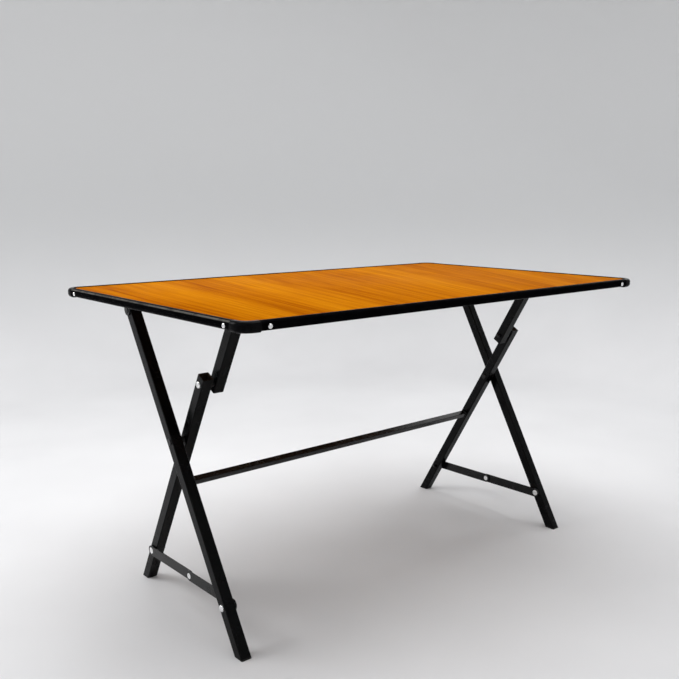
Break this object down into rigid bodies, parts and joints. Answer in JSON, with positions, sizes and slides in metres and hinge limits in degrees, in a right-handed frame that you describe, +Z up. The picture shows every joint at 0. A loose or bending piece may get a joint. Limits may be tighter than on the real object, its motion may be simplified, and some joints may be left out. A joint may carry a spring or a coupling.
{
  "type": "folding table",
  "caption": "Rectangular wood-grain table top in a black rim on crossed square-tube legs that fold flat under the top, with folding stays low down and a long stretcher.",
  "frame": {"origin": "on the floor under the middle of the top", "axes": "+X along the long side of the top, +Y towards the back edge (the side the outer legs are hinged on), +Z up"},
  "size_m": [1.2222, 0.7652, 0.7303],
  "materials": {
    "wood_laminate": "satin orange-honey wood-grain laminate",
    "rim_gloss_black": "semi-gloss black paint",
    "frame_satin_black": "satin black powder coat",
    "black_plastic": "moulded black plastic",
    "bright_zinc": "bright zinc plated steel"
  },
  "bodies": {
    "top": {"top_board": "wood_laminate", "rim_front": "rim_gloss_black", "rim_back": "rim_gloss_black", "rim_left": "rim_gloss_black", "rim_right": "rim_gloss_black", "corner_front_left": "black_plastic", "corner_front_right": "black_plastic", "corner_back_left": "black_plastic", "corner_back_right": "black_plastic", "corner_rivets": "bright_zinc", "rim_screws": "bright_zinc", "leg_bracket_left": "frame_satin_black", "leg_bracket_right": "frame_satin_black", "link_bracket_left": "frame_satin_black", "link_bracket_right": "frame_satin_black", "leg_hinge_pins": "frame_satin_black", "link_hinge_pins": "frame_satin_black", "bracket_screws": "bright_zinc"},
    "inner_frame": {"inner_leg_left": "frame_satin_black", "inner_leg_right": "frame_satin_black", "inner_foot_left": "black_plastic", "inner_foot_right": "black_plastic", "stretcher": "frame_satin_black", "link_bolts": "bright_zinc", "link_bolt_spacers": "black_plastic", "inner_stay_bolts": "bright_zinc", "inner_stay_nuts": "frame_satin_black", "inner_stay_washers": "bright_zinc"},
    "outer_leg_left_body": {"outer_leg_left": "frame_satin_black", "outer_foot_left": "black_plastic", "cross_rivet_left": "frame_satin_black", "cross_spacer_left": "black_plastic", "outer_stay_rivet_left": "bright_zinc", "outer_stay_washer_left": "bright_zinc"},
    "link_left_body": {"upper_link_left": "frame_satin_black", "link_nut_left": "frame_satin_black", "link_nut_spacer_left": "black_plastic"},
    "outer_stay_left_body": {"outer_stay_left": "frame_satin_black", "stay_rivet_head_left": "bright_zinc"},
    "inner_stay_left_body": {"inner_stay_left": "frame_satin_black", "stay_rivet_tail_left": "bright_zinc"},
    "outer_leg_right_body": {"outer_leg_right": "frame_satin_black", "outer_foot_right": "black_plastic", "cross_rivet_right": "frame_satin_black", "cross_spacer_right": "black_plastic", "outer_stay_rivet_right": "bright_zinc", "outer_stay_washer_right": "bright_zinc"},
    "link_right_body": {"upper_link_right": "frame_satin_black", "link_nut_right": "frame_satin_black", "link_nut_spacer_right": "black_plastic"},
    "outer_stay_right_body": {"outer_stay_right": "frame_satin_black", "stay_rivet_head_right": "bright_zinc"},
    "inner_stay_right_body": {"inner_stay_right": "frame_satin_black", "stay_rivet_tail_right": "bright_zinc"}
  },
  "joints": [
    {"name": "leg_fold_left", "type": "hinge", "parent": "top", "child": "outer_leg_left_body", "pos_m": [-0.5376, 0.17304, 0.692], "axis": [-1, 0, 0], "range_deg": [0, 60]},
    {"name": "leg_fold_right", "type": "hinge", "parent": "top", "child": "outer_leg_right_body", "pos_m": [0.5376, 0.17304, 0.692], "axis": [-1, 0, 0], "range_deg": [0, 60]},
    {"name": "cross_fold", "type": "hinge", "parent": "outer_leg_left_body", "child": "inner_frame", "pos_m": [-0.5036, 0.016, 0.42], "axis": [-1, 0, 0], "range_deg": [0, 60]},
    {"name": "link_fold_left", "type": "hinge", "parent": "top", "child": "link_left_body", "pos_m": [-0.4696, -0.14104, 0.692], "axis": [1, 0, 0], "range_deg": [0, 60]},
    {"name": "outer_stay_fold_left", "type": "hinge", "parent": "outer_leg_left_body", "child": "outer_stay_left_body", "pos_m": [-0.5221, -0.171, 0.09611], "axis": [1, 0, 0], "range_deg": [0, 60.79]},
    {"name": "inner_stay_fold_left", "type": "hinge", "parent": "inner_frame", "child": "inner_stay_left_body", "pos_m": [-0.5193, 0.206, 0.09091], "axis": [-1, 0, 0], "range_deg": [0, 59.21]},
    {"name": "link_fold_right", "type": "hinge", "parent": "top", "child": "link_right_body", "pos_m": [0.4696, -0.14104, 0.692], "axis": [1, 0, 0], "range_deg": [0, 60]},
    {"name": "outer_stay_fold_right", "type": "hinge", "parent": "outer_leg_right_body", "child": "outer_stay_right_body", "pos_m": [0.5221, -0.171, 0.09611], "axis": [1, 0, 0], "range_deg": [0, 60.79]},
    {"name": "inner_stay_fold_right", "type": "hinge", "parent": "inner_frame", "child": "inner_stay_right_body", "pos_m": [0.5193, 0.206, 0.09091], "axis": [-1, 0, 0], "range_deg": [0, 59.21]}
  ],
  "couplings": [
    {"joint": "leg_fold_right", "follows": "leg_fold_left", "ratio": 1},
    {"joint": "cross_fold", "follows": "leg_fold_left", "ratio": 1},
    {"joint": "link_fold_left", "follows": "leg_fold_left", "ratio": 1},
    {"joint": "outer_stay_fold_left", "follows": "leg_fold_left", "ratio": 1.0132},
    {"joint": "inner_stay_fold_left", "follows": "leg_fold_left", "ratio": 0.98684},
    {"joint": "link_fold_right", "follows": "leg_fold_left", "ratio": 1},
    {"joint": "outer_stay_fold_right", "follows": "leg_fold_left", "ratio": 1.0132},
    {"joint": "inner_stay_fold_right", "follows": "leg_fold_left", "ratio": 0.98684}
  ]
}
